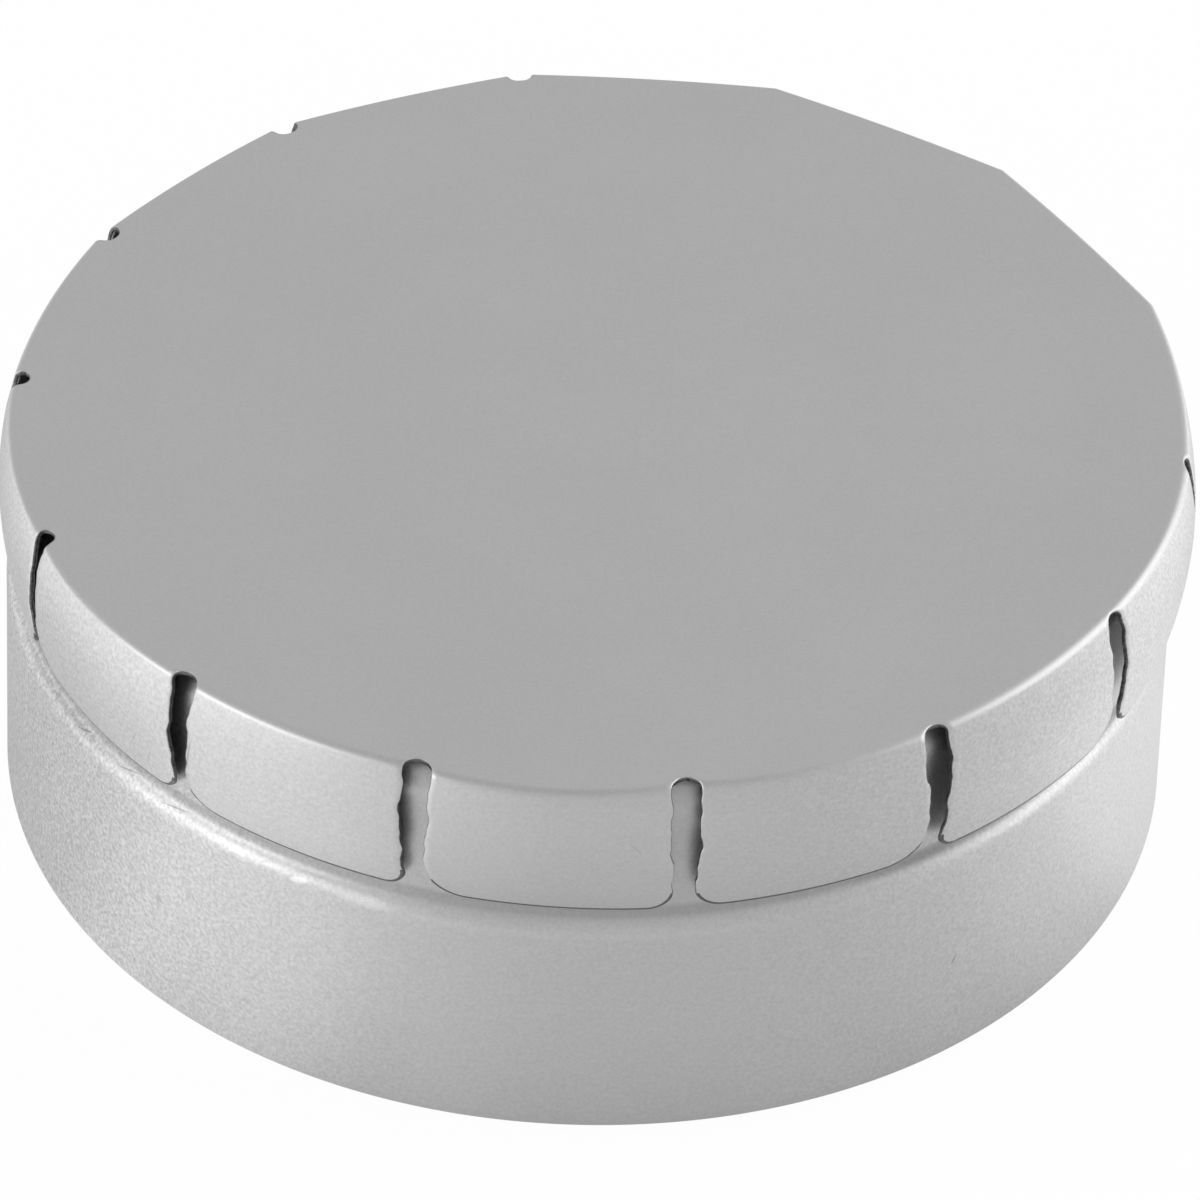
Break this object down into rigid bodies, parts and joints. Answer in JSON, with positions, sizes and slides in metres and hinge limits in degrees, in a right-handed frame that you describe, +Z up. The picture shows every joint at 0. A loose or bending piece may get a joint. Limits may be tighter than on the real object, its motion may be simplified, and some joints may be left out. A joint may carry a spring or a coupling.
{
  "type": "round snap-lid mint tin",
  "caption": "Round silver metal tin: a drawn can with a rolled mouth and a pressed lid whose spring tabs let go when its domed crown is pressed.",
  "frame": {"origin": "centre of the can's underside, on the table", "axes": "+Z up along the tin's axis, and one spring tab faces -Y"},
  "size_m": [0.0484, 0.048, 0.0183],
  "materials": {
    "can_tinplate": "satin tinplate, fine grain, bare",
    "lid_tinplate": "satin tinplate, fine grain, bare"
  },
  "bodies": {
    "can": {"base_can": "can_tinplate"},
    "lid": {"lid_rim": "lid_tinplate"},
    "crown": {"lid_crown": "lid_tinplate"},
    "tab_01": {"tab_01": "lid_tinplate"},
    "tab_02": {"tab_02": "lid_tinplate"},
    "tab_03": {"tab_03": "lid_tinplate"},
    "tab_04": {"tab_04": "lid_tinplate"},
    "tab_05": {"tab_05": "lid_tinplate"},
    "tab_06": {"tab_06": "lid_tinplate"},
    "tab_07": {"tab_07": "lid_tinplate"},
    "tab_08": {"tab_08": "lid_tinplate"},
    "tab_09": {"tab_09": "lid_tinplate"},
    "tab_10": {"tab_10": "lid_tinplate"},
    "tab_11": {"tab_11": "lid_tinplate"},
    "tab_12": {"tab_12": "lid_tinplate"},
    "tab_13": {"tab_13": "lid_tinplate"},
    "tab_14": {"tab_14": "lid_tinplate"}
  },
  "joints": [
    {"name": "lid_lift", "type": "slide", "parent": "can", "child": "lid", "axis": [0, 0, 1], "range_m": [0, 0.02]},
    {"name": "crown_press", "type": "slide", "parent": "lid", "child": "crown", "axis": [0, 0, -1], "range_m": [0, 0.0017]},
    {"name": "tab_01_spread", "type": "hinge", "parent": "lid", "child": "tab_01", "pos_m": [0, -0.02349, 0.01747], "axis": [-1, 0, 0], "range_deg": [0, 9]},
    {"name": "tab_02_spread", "type": "hinge", "parent": "lid", "child": "tab_02", "pos_m": [0.01019, -0.02117, 0.01747], "axis": [-0.901, -0.4339, 0], "range_deg": [0, 9]},
    {"name": "tab_03_spread", "type": "hinge", "parent": "lid", "child": "tab_03", "pos_m": [0.01837, -0.01465, 0.01747], "axis": [-0.6235, -0.7818, 0], "range_deg": [0, 9]},
    {"name": "tab_04_spread", "type": "hinge", "parent": "lid", "child": "tab_04", "pos_m": [0.0229, -0.00523, 0.01747], "axis": [-0.2225, -0.9749, 0], "range_deg": [0, 9]},
    {"name": "tab_05_spread", "type": "hinge", "parent": "lid", "child": "tab_05", "pos_m": [0.0229, 0.00523, 0.01747], "axis": [0.2225, -0.9749, 0], "range_deg": [0, 9]},
    {"name": "tab_06_spread", "type": "hinge", "parent": "lid", "child": "tab_06", "pos_m": [0.01837, 0.01465, 0.01747], "axis": [0.6235, -0.7818, 0], "range_deg": [0, 9]},
    {"name": "tab_07_spread", "type": "hinge", "parent": "lid", "child": "tab_07", "pos_m": [0.01019, 0.02117, 0.01747], "axis": [0.901, -0.4339, 0], "range_deg": [0, 9]},
    {"name": "tab_08_spread", "type": "hinge", "parent": "lid", "child": "tab_08", "pos_m": [0, 0.02349, 0.01747], "axis": [1, 0, 0], "range_deg": [0, 9]},
    {"name": "tab_09_spread", "type": "hinge", "parent": "lid", "child": "tab_09", "pos_m": [-0.01019, 0.02117, 0.01747], "axis": [0.901, 0.4339, 0], "range_deg": [0, 9]},
    {"name": "tab_10_spread", "type": "hinge", "parent": "lid", "child": "tab_10", "pos_m": [-0.01837, 0.01465, 0.01747], "axis": [0.6235, 0.7818, 0], "range_deg": [0, 9]},
    {"name": "tab_11_spread", "type": "hinge", "parent": "lid", "child": "tab_11", "pos_m": [-0.0229, 0.00523, 0.01747], "axis": [0.2225, 0.9749, 0], "range_deg": [0, 9]},
    {"name": "tab_12_spread", "type": "hinge", "parent": "lid", "child": "tab_12", "pos_m": [-0.0229, -0.00523, 0.01747], "axis": [-0.2225, 0.9749, 0], "range_deg": [0, 9]},
    {"name": "tab_13_spread", "type": "hinge", "parent": "lid", "child": "tab_13", "pos_m": [-0.01837, -0.01465, 0.01747], "axis": [-0.6235, 0.7818, 0], "range_deg": [0, 9]},
    {"name": "tab_14_spread", "type": "hinge", "parent": "lid", "child": "tab_14", "pos_m": [-0.01019, -0.02117, 0.01747], "axis": [-0.901, 0.4339, 0], "range_deg": [0, 9]}
  ],
  "couplings": [
    {"joint": "tab_01_spread", "follows": "crown_press", "rad_per_m": 92.3},
    {"joint": "tab_02_spread", "follows": "crown_press", "rad_per_m": 92.3},
    {"joint": "tab_03_spread", "follows": "crown_press", "rad_per_m": 92.3},
    {"joint": "tab_04_spread", "follows": "crown_press", "rad_per_m": 92.3},
    {"joint": "tab_05_spread", "follows": "crown_press", "rad_per_m": 92.3},
    {"joint": "tab_06_spread", "follows": "crown_press", "rad_per_m": 92.3},
    {"joint": "tab_07_spread", "follows": "crown_press", "rad_per_m": 92.3},
    {"joint": "tab_08_spread", "follows": "crown_press", "rad_per_m": 92.3},
    {"joint": "tab_09_spread", "follows": "crown_press", "rad_per_m": 92.3},
    {"joint": "tab_10_spread", "follows": "crown_press", "rad_per_m": 92.3},
    {"joint": "tab_11_spread", "follows": "crown_press", "rad_per_m": 92.3},
    {"joint": "tab_12_spread", "follows": "crown_press", "rad_per_m": 92.3},
    {"joint": "tab_13_spread", "follows": "crown_press", "rad_per_m": 92.3},
    {"joint": "tab_14_spread", "follows": "crown_press", "rad_per_m": 92.3}
  ]
}
